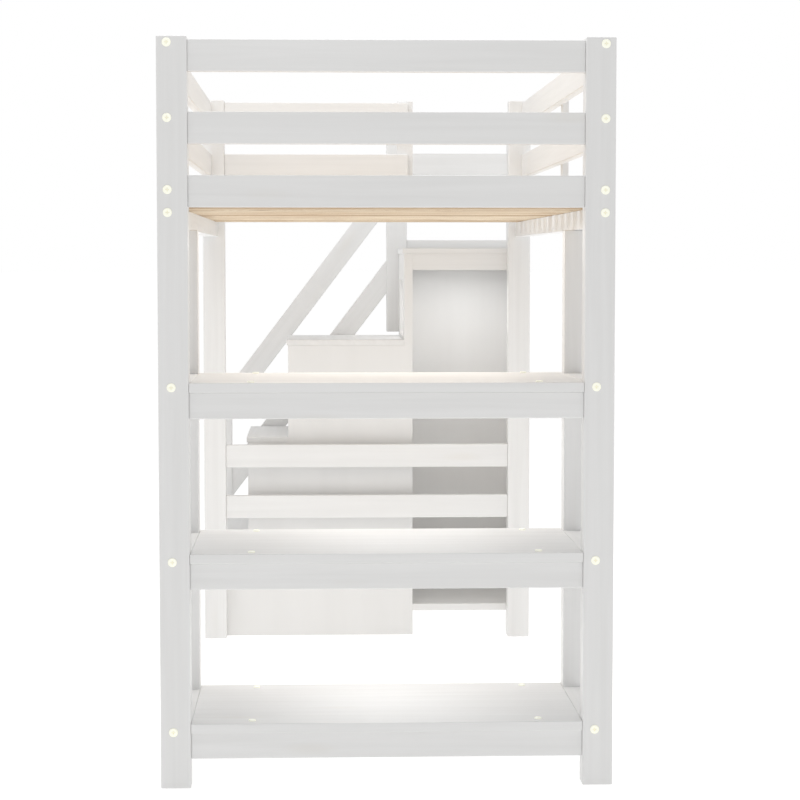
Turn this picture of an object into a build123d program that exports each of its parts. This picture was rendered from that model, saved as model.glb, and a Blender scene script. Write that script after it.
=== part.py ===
from build123d import *
from dataclasses import dataclass
from math import cos, radians, tan
import os

# A loft bed in painted pine: a raised bed on four posts, three open shelves under its near end,
# and a stepped storage staircase with a handrail across its far end.
# The near end faces -Y, the staircase stands at +Y and climbs towards +X. All sizes are in mm.
# The origin is on the floor, in the middle of the whole piece.

os.makedirs("parts", exist_ok=True)

# Bed frame
bed_width = 1050.0
bed_length = 2065.0
bed_height = 1731.0
post_width = 70.0
post_depth = 57.0
rail_height = 73.0
rail_thickness = 24.0
end_rail_set_back = 7.0
side_rail_set_back = 5.0
top_rail_drop = 7.0
guard_gap = 91.0
bed_rail_gap = 71.0
side_rail_height = 119.0
low_rail_height_off_floor = 391.0
low_rail_gap = 91.0

# Entry opening in the far guard rails
guard_reach_past_middle = 132.0
stile_width = 51.0
stile_reach_past_rail = 16.0

# Slats, their ledgers and the battens that tie the guard rails at mid length
ledger_height = 46.0
ledger_thickness = 19.0
slat_thickness = 18.0
slat_width = 95.0
slat_rows = 14
slat_rows_near = 6
slat_end_room = 34.0
slat_set_gap = 62.0
slat_side_clearance = 3.0
batten_width = 40.0
batten_thickness = 18.0
batten_set_in = 6.0
batten_past_middle = 45.0

# Shelf unit under the near end
shelf_depth = 470.0
shelf_board_thickness = 22.0
shelf_levels = ("low", "middle", "high")
lowest_shelf_top = 151.0
shelf_pitch = 395.0
apron_height = 61.0
apron_thickness = 45.0
bearer_thickness = 45.0
shelf_fit = 0.5

# Staircase and the open cabinet below its platform
stair_depth = 465.0
panel_thickness = 18.0
stair_side_inset = 4.5
first_tread_height = 335.0
step_rise = 314.5
platform_rise = 296.0
step_runs = (135.0, 130.5, 376.5)
nosing = 4.5
cabinet_stile_width = 27.5
cabinet_top_rail_height = 52.0
cabinet_floor_thickness = 22.0
cabinet_foot_height = 79.0
hatch_width = 285.0
hatch_height = 184.0
hatch_above_tread = 9.0
hatch_corner = 6.0
cleat_size = 25.0

# Handrail on the outer side of the staircase
newel_width = 70.0
newel_depth = 57.0
end_newel_width = 28.0
high_newel_past_riser = 28.0
high_newel_above_tread = 11.0
high_newel_above_rail = 42.0
low_newel_above_rail = 20.0
platform_rail_drop = 42.0
platform_rail_gap = 224.0
sloped_rail_angle = 52.8
sloped_rail_width = 68.5
sloped_rail_below_level_rail = 9.0
sloped_rail_spacing = 284.0

# Connector bolts with barrel nuts and caps
bolt_radius = 3.0
bolt_head_radius = 7.0
bolt_head_thickness = 4.0
bolt_head_depth = 3.0
bolt_reach = 33.0
hex_socket_radius = 2.5
hex_socket_depth = 2.5
counterbore_radius = 8.0
nut_radius = 5.0
nut_length = 14.0
nut_reach = 25.0
nut_cover = 1.0
cap_radius = 10.0
cap_height = 2.0
cap_plug_length = 2.5
cap_plug_fit = 0.4
cap_edge = 1.2
cap_slot_length = 8.0
cap_slot_width = 1.6
cap_slot_depth = 0.8
rail_bolt_inset = 24.0
guard_bolt_drops = (8.0, 14.0)
bed_rail_bolt_drops = (33.0, 85.0)
shelf_bolt_drops = (19.0, 18.0, 10.0)
shelf_bolt_inset_left = 30.0
shelf_bolt_inset_right = 42.0
newel_bolt_margin = 60.0

# Dowels and wood screws
dowel_radius = 4.0
dowel_length = 40.0
dowel_spread = 36.0
apron_dowel_spread = 30.0
post_dowel_spread = 28.0
panel_dowel_radius = 3.0
panel_dowel_length = 20.0
panel_dowel_margin = 70.0
screw_radius = 2.0
screw_head_radius = 4.0
screw_head_thickness = 2.0
screw_bite = 18.0
cleat_screw_bite = 11.0
post_screw_bite = 30.0
shelf_screw_left = 314.0
shelf_screw_right = 354.0
shelf_screw_set_in = 35.0
shelf_screw_bite = 28.0
shelf_cap_radius = 8.0
shelf_cap_height = 3.0
shelf_cap_edge = 1.5
ledger_screws = 6

# Working clearances and eased edges
bore_clearance = 0.15
bore_end_room = 1.0
post_ease = 3.0
rail_ease = 2.5
board_ease = 1.5
panel_ease = 1.0
shared_least = 0.01

# Places along the length, from the near face to the outer face of the newels
overall_length = bed_length + stair_depth + newel_depth
near_face = -overall_length / 2
near_post_back = near_face + post_depth
far_post_back = near_face + bed_length
far_post_front = far_post_back - post_depth
near_rail = (near_face + end_rail_set_back, near_face + end_rail_set_back + rail_thickness)
far_rail = (far_post_front + end_rail_set_back, far_post_front + end_rail_set_back + rail_thickness)
shelf_back = near_face + shelf_depth
inner_post_front = shelf_back - post_depth
front_apron = (near_face + end_rail_set_back, near_face + end_rail_set_back + apron_thickness)
rear_apron = (shelf_back - end_rail_set_back - apron_thickness, shelf_back - end_rail_set_back)
stair_front = far_post_back
stair_back = stair_front + stair_depth
inner_panel = (stair_front, stair_front + panel_thickness)
outer_panel = (stair_back - panel_thickness, stair_back)
between_panels = (inner_panel[1], outer_panel[0])
newel_span = (stair_back, stair_back + newel_depth)
handrail_span = (stair_back + end_rail_set_back, stair_back + end_rail_set_back + rail_thickness)
stile_span = (far_rail[1], far_rail[1] + rail_thickness)
side_run = (near_post_back, far_post_front)

# Places across the width, as distances from the middle
half_width = bed_width / 2
post_inner = half_width - post_width
side_rail = (half_width - side_rail_set_back - rail_thickness, half_width - side_rail_set_back)
ledger = (side_rail[0] - ledger_thickness, side_rail[0])
batten = (side_rail[1], side_rail[1] + batten_thickness)
bearer = (post_inner, post_inner + bearer_thickness)
slat_half = side_rail[0] - slat_side_clearance
shelf_half = post_inner - shelf_fit
stair_left = -half_width + stair_side_inset
stair_right = half_width - stair_side_inset
riser_faces = (
    stair_left,
    stair_left + step_runs[0],
    stair_left + step_runs[0] + step_runs[1],
    stair_left + sum(step_runs),
)
divider = (riser_faces[3], riser_faces[3] + panel_thickness)
cabinet_open_left = riser_faces[3] + cabinet_stile_width
cabinet_side = (stair_right - panel_thickness, stair_right)
low_newel = (-half_width, -half_width + newel_width)
high_newel_right = riser_faces[3] + high_newel_past_riser
high_newel = (high_newel_right - newel_width, high_newel_right)
end_newel = (half_width - end_newel_width, half_width)

# Heights
guard_bottoms = (
    bed_height - top_rail_drop - rail_height,
    bed_height - top_rail_drop - guard_gap - 2 * rail_height,
)
bed_end_bottom = guard_bottoms[1] - bed_rail_gap - rail_height
side_rail_top = bed_end_bottom + rail_height
side_rail_bottom = side_rail_top - side_rail_height
ledger_top = side_rail_bottom + ledger_height
slat_top = ledger_top + slat_thickness
low_rail_bottoms = (
    low_rail_height_off_floor,
    low_rail_height_off_floor + rail_height + low_rail_gap,
)
shelf_tops = tuple(lowest_shelf_top + level * shelf_pitch for level in range(len(shelf_levels)))
tread_tops = tuple(first_tread_height + step * step_rise for step in range(len(step_runs)))
platform_top = tread_tops[-1] + platform_rise
panel_tops = tuple(top - panel_thickness for top in tread_tops) + (platform_top - panel_thickness,)
cabinet_floor_top = cabinet_foot_height + cabinet_floor_thickness
hatch_bottom = tread_tops[-1] + hatch_above_tread
platform_rail_low = platform_top - platform_rail_drop
platform_rail_bottoms = (
    platform_rail_low,
    platform_rail_low + rail_height + platform_rail_gap,
)
high_newel_bottom = tread_tops[-1] + high_newel_above_tread
high_newel_top = platform_rail_bottoms[1] + rail_height + high_newel_above_rail
slope = tan(radians(sloped_rail_angle))
sloped_rail_cut = sloped_rail_width / cos(radians(sloped_rail_angle))
sloped_upper_end = platform_rail_bottoms[1] - sloped_rail_below_level_rail
sloped_fall = slope * (high_newel[0] - low_newel[1])
low_newel_top = sloped_upper_end - sloped_fall + low_newel_above_rail

sides = {"left": -1, "right": 1}


def middle(span):
    return (span[0] + span[1]) / 2


def mirrored(span, side):
    """A span on the right side, or its mirror image on the left."""
    return tuple(sorted((side * span[0], side * span[1])))


@dataclass(frozen=True)
class Rod:
    """A round fixing or a bore: where it starts, the way it runs, its radius and its length."""

    start: tuple
    way: tuple
    radius: float
    length: float

    def plane(self):
        """The plane at its start, facing the way it runs."""
        return Plane(origin=self.start, z_dir=self.way)

    def box(self):
        """Its lowest and highest place on each axis."""
        ends = zip(self.start, self.way)
        spans = [sorted((at, at + step * self.length)) for at, step in ends]
        round_it = [0 if step else self.radius for step in self.way]
        return [(low - grow, high + grow) for (low, high), grow in zip(spans, round_it)]

    def meets(self, spans):
        """Whether it reaches into the box that three spans give."""
        pairs = zip(self.box(), spans)
        return all(min(a[1], b[1]) - max(a[0], b[0]) > shared_least for a, b in pairs)

    def centred(self):
        """The same rod with its start moved back, so that it lies half each side of the joint."""
        start = tuple(at - step * self.length / 2 for at, step in zip(self.start, self.way))
        return Rod(start, self.way, self.radius, self.length)

    def bore(self):
        """The hole that it lies in."""
        start = tuple(at - step * bore_end_room for at, step in zip(self.start, self.way))
        length = self.length + 2 * bore_end_room
        return Rod(start, self.way, self.radius + bore_clearance, length)


@dataclass(frozen=True)
class Connector:
    """A capped bolt along Y that clamps one piece to the end of another with a barrel nut."""

    x: float
    z: float
    face: float
    into: int
    grip: float
    member: tuple

    def at(self, depth):
        """The point on its axis at a depth below the outer face."""
        return (self.x, self.face + self.into * depth, self.z)

    def way(self):
        return (0, self.into, 0)

    def face_plane(self):
        """The plane of the outer face at its axis, facing out of the wood."""
        return Plane(origin=self.at(0), z_dir=(0, -self.into, 0))

    def shank(self):
        under_head = bolt_head_depth + bolt_head_thickness
        length = self.grip + bolt_reach - under_head
        return Rod(self.at(under_head), self.way(), bolt_radius, length)

    def nut(self):
        """The barrel nut, centred on the bolt as far as its cover in the wood allows."""
        room = nut_cover + nut_length / 2
        centre = min(max(self.x, self.member[0] + room), self.member[1] - room)
        start = (centre - nut_length / 2, self.at(self.grip + nut_reach)[1], self.z)
        return Rod(start, (1, 0, 0), nut_radius, nut_length)

    def bores(self):
        """The counterbore, the bolt's hole and the barrel nut's hole."""
        head_room = bolt_head_depth + bolt_head_thickness
        pocket = Rod(self.at(0), self.way(), counterbore_radius, head_room)
        return [pocket, self.shank().bore(), self.nut().bore()]


@dataclass(frozen=True)
class Screw:
    """A countersunk wood screw: the middle of its head's face, its way, its length."""

    start: tuple
    way: tuple
    length: float

    def head(self):
        return Rod(self.start, self.way, screw_head_radius, screw_head_thickness)

    def shank(self):
        below = tuple(at + step * screw_head_thickness for at, step in zip(self.start, self.way))
        return Rod(below, self.way, screw_radius, self.length - screw_head_thickness)

    def bores(self):
        pocket = Rod(self.start, self.way, screw_head_radius + bore_clearance, screw_head_thickness)
        return [pocket, self.shank().bore()]


def post_connectors(face, into, drops_and_tops, inset, member, side):
    """Connectors down one post, one for each drop below the top of a rail or bearer."""
    x = side * (half_width - inset)
    span = mirrored(member, side)
    return [Connector(x, top - drop, face, into, post_depth, span) for drop, top in drops_and_tops]


guard_tops = [bottom + rail_height for bottom in guard_bottoms]
rail_bolts = list(zip(guard_bolt_drops, guard_tops))
rail_bolts += [(drop, side_rail_top) for drop in bed_rail_bolt_drops]
shelf_bolts = list(zip(shelf_bolt_drops, shelf_tops))
shelf_bolt_insets = {"left": shelf_bolt_inset_left, "right": shelf_bolt_inset_right}

connectors = []
for name, side in sides.items():
    for face, into in ((near_face, 1), (far_post_back, -1)):
        connectors += post_connectors(face, into, rail_bolts, rail_bolt_inset, side_rail, side)
    for face, into in ((near_face, 1), (shelf_back, -1)):
        inset = shelf_bolt_insets[name]
        connectors += post_connectors(face, into, shelf_bolts, inset, bearer, side)

low_riser = (riser_faces[0], riser_faces[0] + panel_thickness)
through_panel = newel_depth + panel_thickness
newel_fixings = (
    (low_riser, through_panel, (newel_bolt_margin, panel_tops[0] - newel_bolt_margin)),
    (divider, through_panel, (
        high_newel_bottom + newel_bolt_margin / 2,
        panel_tops[3] - newel_bolt_margin / 2,
    )),
    (cabinet_side, newel_depth, (newel_bolt_margin, panel_tops[3] - newel_bolt_margin)),
)
for member, grip, heights in newel_fixings:
    for z in heights:
        connectors.append(Connector(middle(member), z, newel_span[1], -1, grip, member))

# Dowels: across X at rail ends, up Z at post tops, and small ones in the edges of the panels
dowels = []


def dowel_pair(x, y, z, spread):
    """Two dowels along X through a joint at x, one above the other."""
    for lift in (-spread / 2, spread / 2):
        dowels.append(Rod((x, y, z + lift), (1, 0, 0), dowel_radius, dowel_length).centred())


for side in sides.values():
    joint = side * post_inner
    for bottom in guard_bottoms + (bed_end_bottom,):
        dowel_pair(joint, middle(near_rail), bottom + rail_height / 2, dowel_spread)
    for bottom in low_rail_bottoms + (bed_end_bottom,):
        dowel_pair(joint, middle(far_rail), bottom + rail_height / 2, dowel_spread)
    for top in shelf_tops:
        apron_middle = top - shelf_board_thickness - apron_height / 2
        dowel_pair(joint, middle(front_apron), apron_middle, apron_dowel_spread)
        dowel_pair(joint, middle(rear_apron), apron_middle, apron_dowel_spread)
    for shift in (-post_dowel_spread / 2, post_dowel_spread / 2):
        y = inner_post_front + post_depth / 2 + shift
        foot = (side * middle(side_rail), y, side_rail_bottom)
        dowels.append(Rod(foot, (0, 0, 1), dowel_radius, dowel_length).centred())
for bottom in guard_bottoms:
    dowel_pair(-post_inner, middle(far_rail), bottom + rail_height / 2, dowel_spread)
for joint in (high_newel[1], end_newel[0]):
    for bottom in platform_rail_bottoms:
        dowel_pair(joint, middle(handrail_span), bottom + rail_height / 2, dowel_spread)
for spacing in (0, sloped_rail_spacing):
    end_middle = sloped_upper_end - spacing - sloped_rail_cut / 2
    for joint, z in ((high_newel[0], end_middle), (low_newel[1], end_middle - sloped_fall)):
        dowel_pair(joint, middle(handrail_span), z, dowel_spread)


def panel_dowel(point, way):
    dowels.append(Rod(point, way, panel_dowel_radius, panel_dowel_length).centred())


risers = {
    "riser_low": (low_riser, panel_tops[0]),
    "riser_middle": ((riser_faces[1], riser_faces[1] + panel_thickness), panel_tops[1]),
    "riser_high": ((riser_faces[2], riser_faces[2] + panel_thickness), panel_tops[2]),
    "cabinet_divider": (divider, panel_tops[3]),
}
for span, top in risers.values():
    for y in between_panels:
        for z in (panel_dowel_margin * 2, top - panel_dowel_margin * 2):
            panel_dowel((middle(span), y, z), (0, 1, 0))
for y in (between_panels[0] + panel_dowel_margin, between_panels[1] - panel_dowel_margin):
    floor_middle = cabinet_floor_top - cabinet_floor_thickness / 2
    panel_dowel((divider[1], y, floor_middle), (1, 0, 0))
    panel_dowel((cabinet_side[0], y, floor_middle), (1, 0, 0))
    for top, face in zip(tread_tops, riser_faces[1:]):
        panel_dowel((face, y, top - panel_thickness / 2), (1, 0, 0))
for x in (cabinet_open_left, cabinet_side[0]):
    rail_middle = panel_tops[3] - cabinet_top_rail_height / 2
    panel_dowel((x, middle(inner_panel), rail_middle), (1, 0, 0))
for z in (panel_dowel_margin, panel_tops[3] - panel_dowel_margin):
    panel_dowel((middle(cabinet_side), stair_front, z), (0, 1, 0))
    if z > cabinet_floor_top:
        panel_dowel((cabinet_side[0], middle(outer_panel), z), (1, 0, 0))

# Rows of slats, in two sets with a wider gap between them
slat_run = far_rail[0] - near_rail[1] - 2 * slat_end_room - slat_set_gap
slat_gap = (slat_run - slat_rows * slat_width) / (slat_rows - 2)
slat_fronts = []
slat_start = near_rail[1] + slat_end_room
for row in range(slat_rows):
    set_shift = slat_set_gap - slat_gap if row >= slat_rows_near else 0
    slat_fronts.append(slat_start + row * (slat_width + slat_gap) + set_shift)

# Wood screws: slats to ledgers, ledgers and battens to rails, stile, shelves and cleats
screws = []
shelf_screw_tops = []
batten_middle = middle(side_run) + batten_past_middle
batten_span = (batten_middle - batten_width / 2, batten_middle + batten_width / 2)
ledger_pitch = (side_run[1] - side_run[0]) / ledger_screws
for side in sides.values():
    for front in slat_fronts:
        over_ledger = (side * middle(ledger), front + slat_width / 2, slat_top)
        screws.append(Screw(over_ledger, (0, 0, -1), slat_thickness + screw_bite))
    for count in range(ledger_screws):
        y = side_run[0] + (count + 0.5) * ledger_pitch
        face = (side * ledger[0], y, side_rail_bottom + ledger_height / 4)
        screws.append(Screw(face, (side, 0, 0), ledger_thickness + screw_bite))
    for z in [bottom + rail_height / 2 for bottom in guard_bottoms + (bed_end_bottom,)]:
        face = (side * batten[1], middle(batten_span), z)
        screws.append(Screw(face, (-side, 0, 0), batten_thickness + screw_bite))
stile = (
    guard_reach_past_middle + stile_reach_past_rail - stile_width,
    guard_reach_past_middle + stile_reach_past_rail,
)
stile_screw_x = (stile[0] + guard_reach_past_middle) / 2
for z in [bottom + rail_height / 2 for bottom in guard_bottoms + (bed_end_bottom,)]:
    face = (stile_screw_x, stile_span[1], z)
    screws.append(Screw(face, (0, -1, 0), rail_thickness + screw_bite))
for top in shelf_tops:
    for x in (-shelf_screw_left, shelf_screw_right):
        for y in (near_face + shelf_screw_set_in, shelf_back - shelf_screw_set_in):
            screws.append(Screw((x, y, top), (0, 0, -1), shelf_board_thickness + shelf_screw_bite))
            shelf_screw_tops.append((x, y, top))
cleat_runs = tuple(
    (face + panel_thickness, following)
    for face, following in zip(riser_faces[:3], riser_faces[1:])
) + ((divider[1], cabinet_side[0]),)
cleat_spans = (
    (inner_panel[1], inner_panel[1] + cleat_size),
    (outer_panel[0] - cleat_size, outer_panel[0]),
)
for run, top in zip(cleat_runs, panel_tops):
    for span in cleat_spans:
        for x in (run[0] + (run[1] - run[0]) / 4, run[1] - (run[1] - run[0]) / 4):
            under = (x, middle(span), top - cleat_size)
            screws.append(Screw(under, (0, 0, 1), cleat_size + cleat_screw_bite))
far_left_post_middle = -(half_width - post_width / 2)
for z in (newel_bolt_margin, panel_tops[0] - newel_bolt_margin):
    face = (far_left_post_middle, inner_panel[1], z)
    screws.append(Screw(face, (0, -1, 0), panel_thickness + post_screw_bite))

bores = [bore for connector in connectors for bore in connector.bores()]
bores += [bore for screw in screws for bore in screw.bores()]
bores += [dowel.bore() for dowel in dowels]


along = (Align.CENTER, Align.CENTER, Align.MIN)


def alike(rods):
    """Rods sorted into sets of one radius and length, with the planes that each set starts on."""
    for radius, length in sorted({(rod.radius, rod.length) for rod in rods}):
        planes = [rod.plane() for rod in rods if (rod.radius, rod.length) == (radius, length)]
        yield radius, length, planes


def drill(spans):
    """Cut every bore that reaches into the box of the piece being made."""
    for radius, length, planes in alike([bore for bore in bores if bore.meets(spans)]):
        with Locations(*planes):
            Cylinder(radius, length, align=along, mode=Mode.SUBTRACT)


def keep(piece, label):
    """Name a finished piece and write it."""
    piece.part.label = label
    export_step(piece.part, f"parts/{label}.step")


def board(x, y, z, ease):
    """A straight piece of wood that fills three spans, with eased edges and its bores."""
    with BuildPart() as piece:
        with BuildSketch(Plane.XY.offset(z[0])):
            with Locations((middle(x), middle(y))):
                Rectangle(x[1] - x[0], y[1] - y[0])
        extrude(amount=z[1] - z[0])
        fillet(piece.edges(), ease)
        drill((x, y, z))
    return piece


def timber(label, x, y, z, ease):
    """One board kept under its own name."""
    keep(board(x, y, z, ease), label)


def timber_group(label, boxes, ease):
    """Several like boards kept under one name."""
    pieces = [board(x, y, z, ease).part for x, y, z in boxes]
    with BuildPart() as group:
        add(pieces)
    keep(group, label)


def group_of(pattern, planes):
    """Copies of one small piece, each placed on a plane."""
    with BuildPart() as group:
        for part, places in zip(pattern, planes):
            with Locations(*places):
                add(part)
    return group


def rail_heights(bottom):
    return (bottom, bottom + rail_height)


# Posts
for name, side in sides.items():
    across = mirrored((post_inner, half_width), side)
    tall = (0, bed_height)
    timber(f"post_near_{name}", across, (near_face, near_post_back), tall, post_ease)
    timber(f"post_far_{name}", across, (far_post_front, far_post_back), tall, post_ease)
    inner_height = (0, side_rail_bottom)
    timber(f"inner_post_{name}", across, (inner_post_front, shelf_back), inner_height, post_ease)

# Rails across the near and the far end
full_span = (-post_inner, post_inner)
guard_span = (-post_inner, guard_reach_past_middle)
for name, bottom in zip(("top", "middle"), guard_bottoms):
    height = rail_heights(bottom)
    timber(f"guard_rail_near_{name}", full_span, near_rail, height, rail_ease)
    timber(f"guard_rail_far_{name}", guard_span, far_rail, height, rail_ease)
for name, span in (("near", near_rail), ("far", far_rail)):
    timber(f"bed_end_rail_{name}", full_span, span, rail_heights(bed_end_bottom), rail_ease)
for name, bottom in zip(("lower", "upper"), low_rail_bottoms):
    timber(f"low_rail_far_{name}", full_span, far_rail, rail_heights(bottom), rail_ease)
timber("entry_stile", stile, stile_span, (bed_end_bottom, bed_height), rail_ease)

# Rails, ledgers and battens along the sides
for name, side in sides.items():
    across = mirrored(side_rail, side)
    for level, bottom in zip(("top", "middle"), guard_bottoms):
        height = rail_heights(bottom)
        timber(f"guard_rail_{name}_{level}", across, side_run, height, rail_ease)
    height = (side_rail_bottom, side_rail_top)
    timber(f"bed_rail_{name}", across, side_run, height, rail_ease)
ledger_height_span = (side_rail_bottom, ledger_top)
timber_group(
    "slat_ledgers",
    [(mirrored(ledger, side), side_run, ledger_height_span) for side in sides.values()],
    board_ease,
)
batten_height = (side_rail_bottom + batten_set_in, guard_tops[0] - batten_set_in)
timber_group(
    "guard_battens",
    [(mirrored(batten, side), batten_span, batten_height) for side in sides.values()],
    board_ease,
)

# Slats
slat_boxes = [
    ((-slat_half, slat_half), (front, front + slat_width), (ledger_top, slat_top))
    for front in slat_fronts
]
timber_group("bed_slats", slat_boxes, board_ease)

# Shelves
board_run = (near_face, shelf_back)
rear_apron_boxes = []
for name, top in zip(shelf_levels, shelf_tops):
    under = top - shelf_board_thickness
    board_heights = (under, top)
    apron_heights = (under - apron_height, under)
    rear_apron_boxes.append((full_span, rear_apron, apron_heights))
    timber(f"shelf_board_{name}", (-shelf_half, shelf_half), board_run, board_heights, board_ease)
    timber(f"shelf_apron_front_{name}", full_span, front_apron, apron_heights, rail_ease)
timber_group("shelf_aprons_rear", rear_apron_boxes, rail_ease)
bearer_boxes = [
    (
        mirrored(bearer, side),
        (near_post_back, inner_post_front),
        (top - shelf_board_thickness - apron_height, top),
    )
    for side in sides.values()
    for top in shelf_tops
]
timber_group("shelf_bearers", bearer_boxes, board_ease)

# Staircase panels, cut to the steps
step_corners = [(riser_faces[0], 0)]
for face, top, following in zip(riser_faces[:3], panel_tops[:3], riser_faces[1:]):
    step_corners += [(face, top), (following, top)]
step_corners.append((riser_faces[3], panel_tops[3]))
inner_corners = step_corners + [(cabinet_open_left, panel_tops[3]), (cabinet_open_left, 0)]
outer_corners = step_corners + [
    (cabinet_side[0], panel_tops[3]),
    (cabinet_side[0], cabinet_foot_height),
    (cabinet_open_left, cabinet_foot_height),
    (cabinet_open_left, 0),
]
for label, corners, span in (
    ("stair_panel_inner", inner_corners, inner_panel),
    ("stair_panel_outer", outer_corners, outer_panel),
):
    with BuildPart() as panel:
        with BuildSketch(Plane.XZ.offset(-span[1])):
            with BuildLine():
                Polyline(corners, close=True)
            make_face()
        extrude(amount=panel_thickness)
        fillet(panel.edges().filter_by(Plane.XZ), panel_ease)
        drill(((stair_left, stair_right), span, (0, platform_top)))
    keep(panel, label)

# Risers, the divider with its hatch, treads and the platform board
for label, (span, top) in risers.items():
    if label != "cabinet_divider":
        timber(label, span, between_panels, (0, top), panel_ease)
with BuildPart() as cabinet_divider:
    with BuildSketch(Plane.YZ.offset(divider[0])):
        with Locations((middle(between_panels), panel_tops[3] / 2)):
            Rectangle(between_panels[1] - between_panels[0], panel_tops[3])
        with Locations((middle(between_panels), hatch_bottom + hatch_height / 2)):
            RectangleRounded(hatch_width, hatch_height, hatch_corner, mode=Mode.SUBTRACT)
    extrude(amount=panel_thickness)
    fillet(cabinet_divider.edges().filter_by(Plane.YZ), panel_ease)
    drill((divider, between_panels, (0, panel_tops[3])))
keep(cabinet_divider, "cabinet_divider")

stair_run = (stair_front, stair_back)
tread_names = ("tread_low", "tread_middle", "tread_high")
for label, face, following, top in zip(tread_names, riser_faces[:3], riser_faces[1:], tread_tops):
    thickness_span = (top - panel_thickness, top)
    timber(label, (face - nosing, following), stair_run, thickness_span, board_ease)
platform_span = (riser_faces[3] - nosing, stair_right)
timber("platform_board", platform_span, stair_run, (panel_tops[3], platform_top), board_ease)

# The open cabinet below the platform
cabinet_width = (divider[1], cabinet_side[0])
cabinet_mouth = (cabinet_open_left, cabinet_side[0])
timber("cabinet_side_panel", cabinet_side, stair_run, (0, panel_tops[3]), panel_ease)
top_rail_heights = (panel_tops[3] - cabinet_top_rail_height, panel_tops[3])
timber("cabinet_top_rail", cabinet_mouth, inner_panel, top_rail_heights, panel_ease)
with BuildPart() as cabinet_floor:
    with BuildSketch(Plane.XY.offset(cabinet_foot_height)):
        with Locations((middle(cabinet_width), middle(between_panels))):
            Rectangle(cabinet_width[1] - cabinet_width[0], between_panels[1] - between_panels[0])
        with Locations((middle(cabinet_mouth), middle(inner_panel))):
            Rectangle(cabinet_mouth[1] - cabinet_mouth[0], panel_thickness)
    extrude(amount=cabinet_floor_thickness)
    fillet(cabinet_floor.edges().filter_by(Axis.X).group_by(Axis.Y)[0], panel_ease)
    drill((cabinet_width, (stair_front, outer_panel[0]), (cabinet_foot_height, cabinet_floor_top)))
keep(cabinet_floor, "cabinet_floor")
cleat_boxes = [
    (run, span, (top - cleat_size, top))
    for run, top in zip(cleat_runs, panel_tops)
    for span in cleat_spans
]
timber_group("stair_cleats", cleat_boxes, board_ease)

# Newels and the level rails beside the platform
timber("newel_low", low_newel, newel_span, (0, low_newel_top), post_ease)
timber("newel_high", high_newel, newel_span, (high_newel_bottom, high_newel_top), post_ease)
timber("newel_end", end_newel, newel_span, (0, high_newel_top), post_ease)
level_run = (high_newel[1], end_newel[0])
for name, bottom in zip(("lower", "upper"), platform_rail_bottoms):
    timber(f"platform_rail_{name}", level_run, handrail_span, rail_heights(bottom), rail_ease)

# Sloped rails, cut upright where they meet the newels
for name, spacing in (("upper", 0), ("lower", sloped_rail_spacing)):
    high_end = sloped_upper_end - spacing
    low_end = high_end - sloped_fall
    with BuildPart() as sloped:
        with BuildSketch(Plane.XZ.offset(-handrail_span[1])):
            with BuildLine():
                Polyline(
                    (low_newel[1], low_end - sloped_rail_cut),
                    (high_newel[0], high_end - sloped_rail_cut),
                    (high_newel[0], high_end),
                    (low_newel[1], low_end),
                    close=True,
                )
            make_face()
        extrude(amount=rail_thickness)
        fillet(sloped.edges().group_by(SortBy.LENGTH)[-1], rail_ease)
        heights = (low_end - sloped_rail_cut, high_end)
        drill(((low_newel[1], high_newel[0]), handrail_span, heights))
    keep(sloped, f"sloped_rail_{name}")


# Connector bolts, one pattern for each grip, with a hex socket in the head
def bolt_pattern(grip):
    """A bolt whose outer face is at the origin and whose shank runs down."""
    under_head = bolt_head_depth + bolt_head_thickness
    with BuildPart() as bolt:
        with BuildSketch(Plane.XY.offset(-under_head)):
            Circle(bolt_head_radius)
        extrude(amount=bolt_head_thickness)
        with BuildSketch(Plane.XY.offset(-bolt_head_depth)):
            RegularPolygon(hex_socket_radius, 6)
        extrude(amount=-hex_socket_depth, mode=Mode.SUBTRACT)
        with BuildSketch(Plane.XY.offset(-under_head)):
            Circle(bolt_radius)
        extrude(amount=-(grip + bolt_reach - under_head))
    return bolt.part


grips = sorted({connector.grip for connector in connectors})
bolt_places = [[c.face_plane() for c in connectors if c.grip == grip] for grip in grips]
keep(group_of([bolt_pattern(grip) for grip in grips], bolt_places), "connector_bolts")

# Caps over the bolt heads, each a domed rim with a plug behind and a cross mark in front
with BuildPart() as cap:
    with BuildSketch():
        Circle(cap_radius)
    extrude(amount=cap_height)
    fillet(cap.faces().sort_by(Axis.Z)[-1].edges(), cap_edge)
    with BuildSketch():
        Circle(counterbore_radius - cap_plug_fit)
    extrude(amount=-cap_plug_length)
    with BuildSketch(Plane.XY.offset(cap_height)):
        Rectangle(cap_slot_length, cap_slot_width)
        Rectangle(cap_slot_width, cap_slot_length)
    extrude(amount=-cap_slot_depth, mode=Mode.SUBTRACT)
keep(group_of([cap.part], [[c.face_plane() for c in connectors]]), "bolt_caps")

# Barrel nuts, each with the cross hole that its bolt screws into
with BuildPart() as barrel_nuts:
    for radius, length, planes in alike([connector.nut() for connector in connectors]):
        with Locations(*planes):
            Cylinder(radius, length, align=along)
    for radius, length, planes in alike([connector.shank().bore() for connector in connectors]):
        with Locations(*planes):
            Cylinder(radius, length, align=along, mode=Mode.SUBTRACT)
keep(barrel_nuts, "barrel_nuts")

with BuildPart() as dowel_pins:
    for radius, length, planes in alike(dowels):
        with Locations(*planes):
            Cylinder(radius, length, align=along)
keep(dowel_pins, "dowel_pins")


def screw_pattern(length):
    """A screw whose head's face is at the origin and whose shank runs up."""
    with BuildPart() as screw:
        with BuildSketch():
            Circle(screw_head_radius)
        extrude(amount=screw_head_thickness)
        with BuildSketch():
            Circle(screw_radius)
        extrude(amount=length)
    return screw.part


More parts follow.
